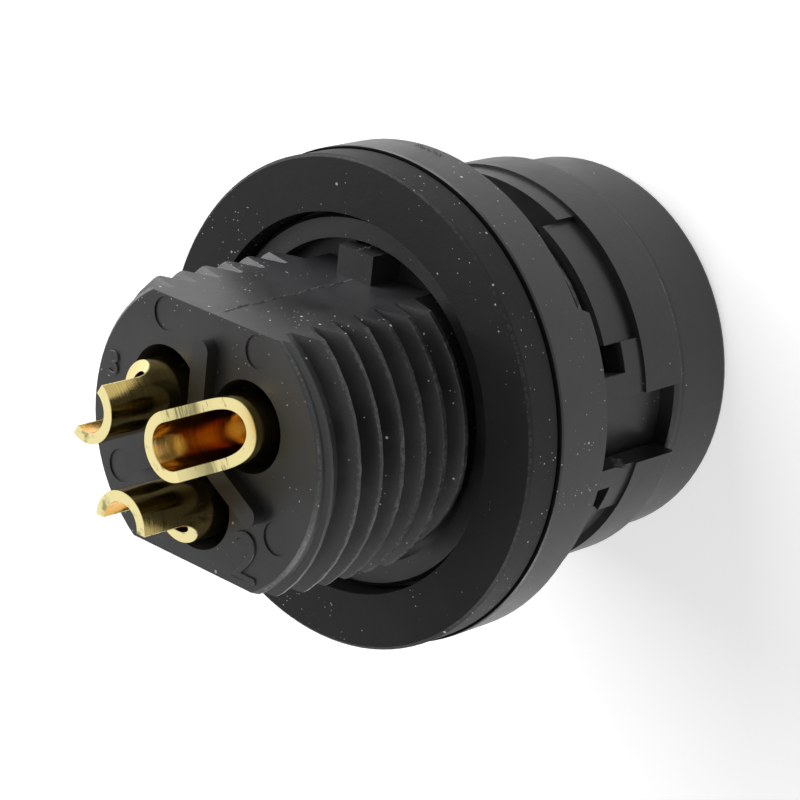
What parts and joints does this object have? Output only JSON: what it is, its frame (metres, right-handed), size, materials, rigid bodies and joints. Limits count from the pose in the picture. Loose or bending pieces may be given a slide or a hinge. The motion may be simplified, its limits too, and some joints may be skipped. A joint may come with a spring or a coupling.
{
  "type": "push pull circular connector",
  "caption": "Panel-mount circular power connector with a threaded shank, sealed flange, sliding coupling ring, shrouded pins in front and solder cups behind.",
  "frame": {"origin": "centre of the mating face, on the connector's axis", "axes": "+Z along the axis from the mating face to the solder cups; the shank's two flats face +Y and -Y"},
  "size_m": [0.0242, 0.024, 0.0312],
  "materials": {
    "housing": "matte moulded black",
    "ring": "matte moulded black",
    "collar": "matte moulded black",
    "gasket": "black rubber with dust",
    "seal": "black rubber",
    "spring": "darkened spring steel",
    "contact": "gold plated, turned"
  },
  "bodies": {
    "housing": {"shell": "housing", "panel_gasket": "gasket", "front_collar": "collar", "socket_seal": "seal", "ring_spring": "spring", "contact_1": "contact", "contact_2": "contact", "contact_3": "contact"},
    "ring": {"coupling_ring": "ring"}
  },
  "joints": [
    {"name": "ring_slide", "type": "slide", "parent": "housing", "child": "ring", "axis": [0, 0, 1], "range_m": [0, 0.0016], "stiffness_N_per_m": 1500, "springref_m": -0.0012, "deforming": ["ring_spring"]}
  ]
}
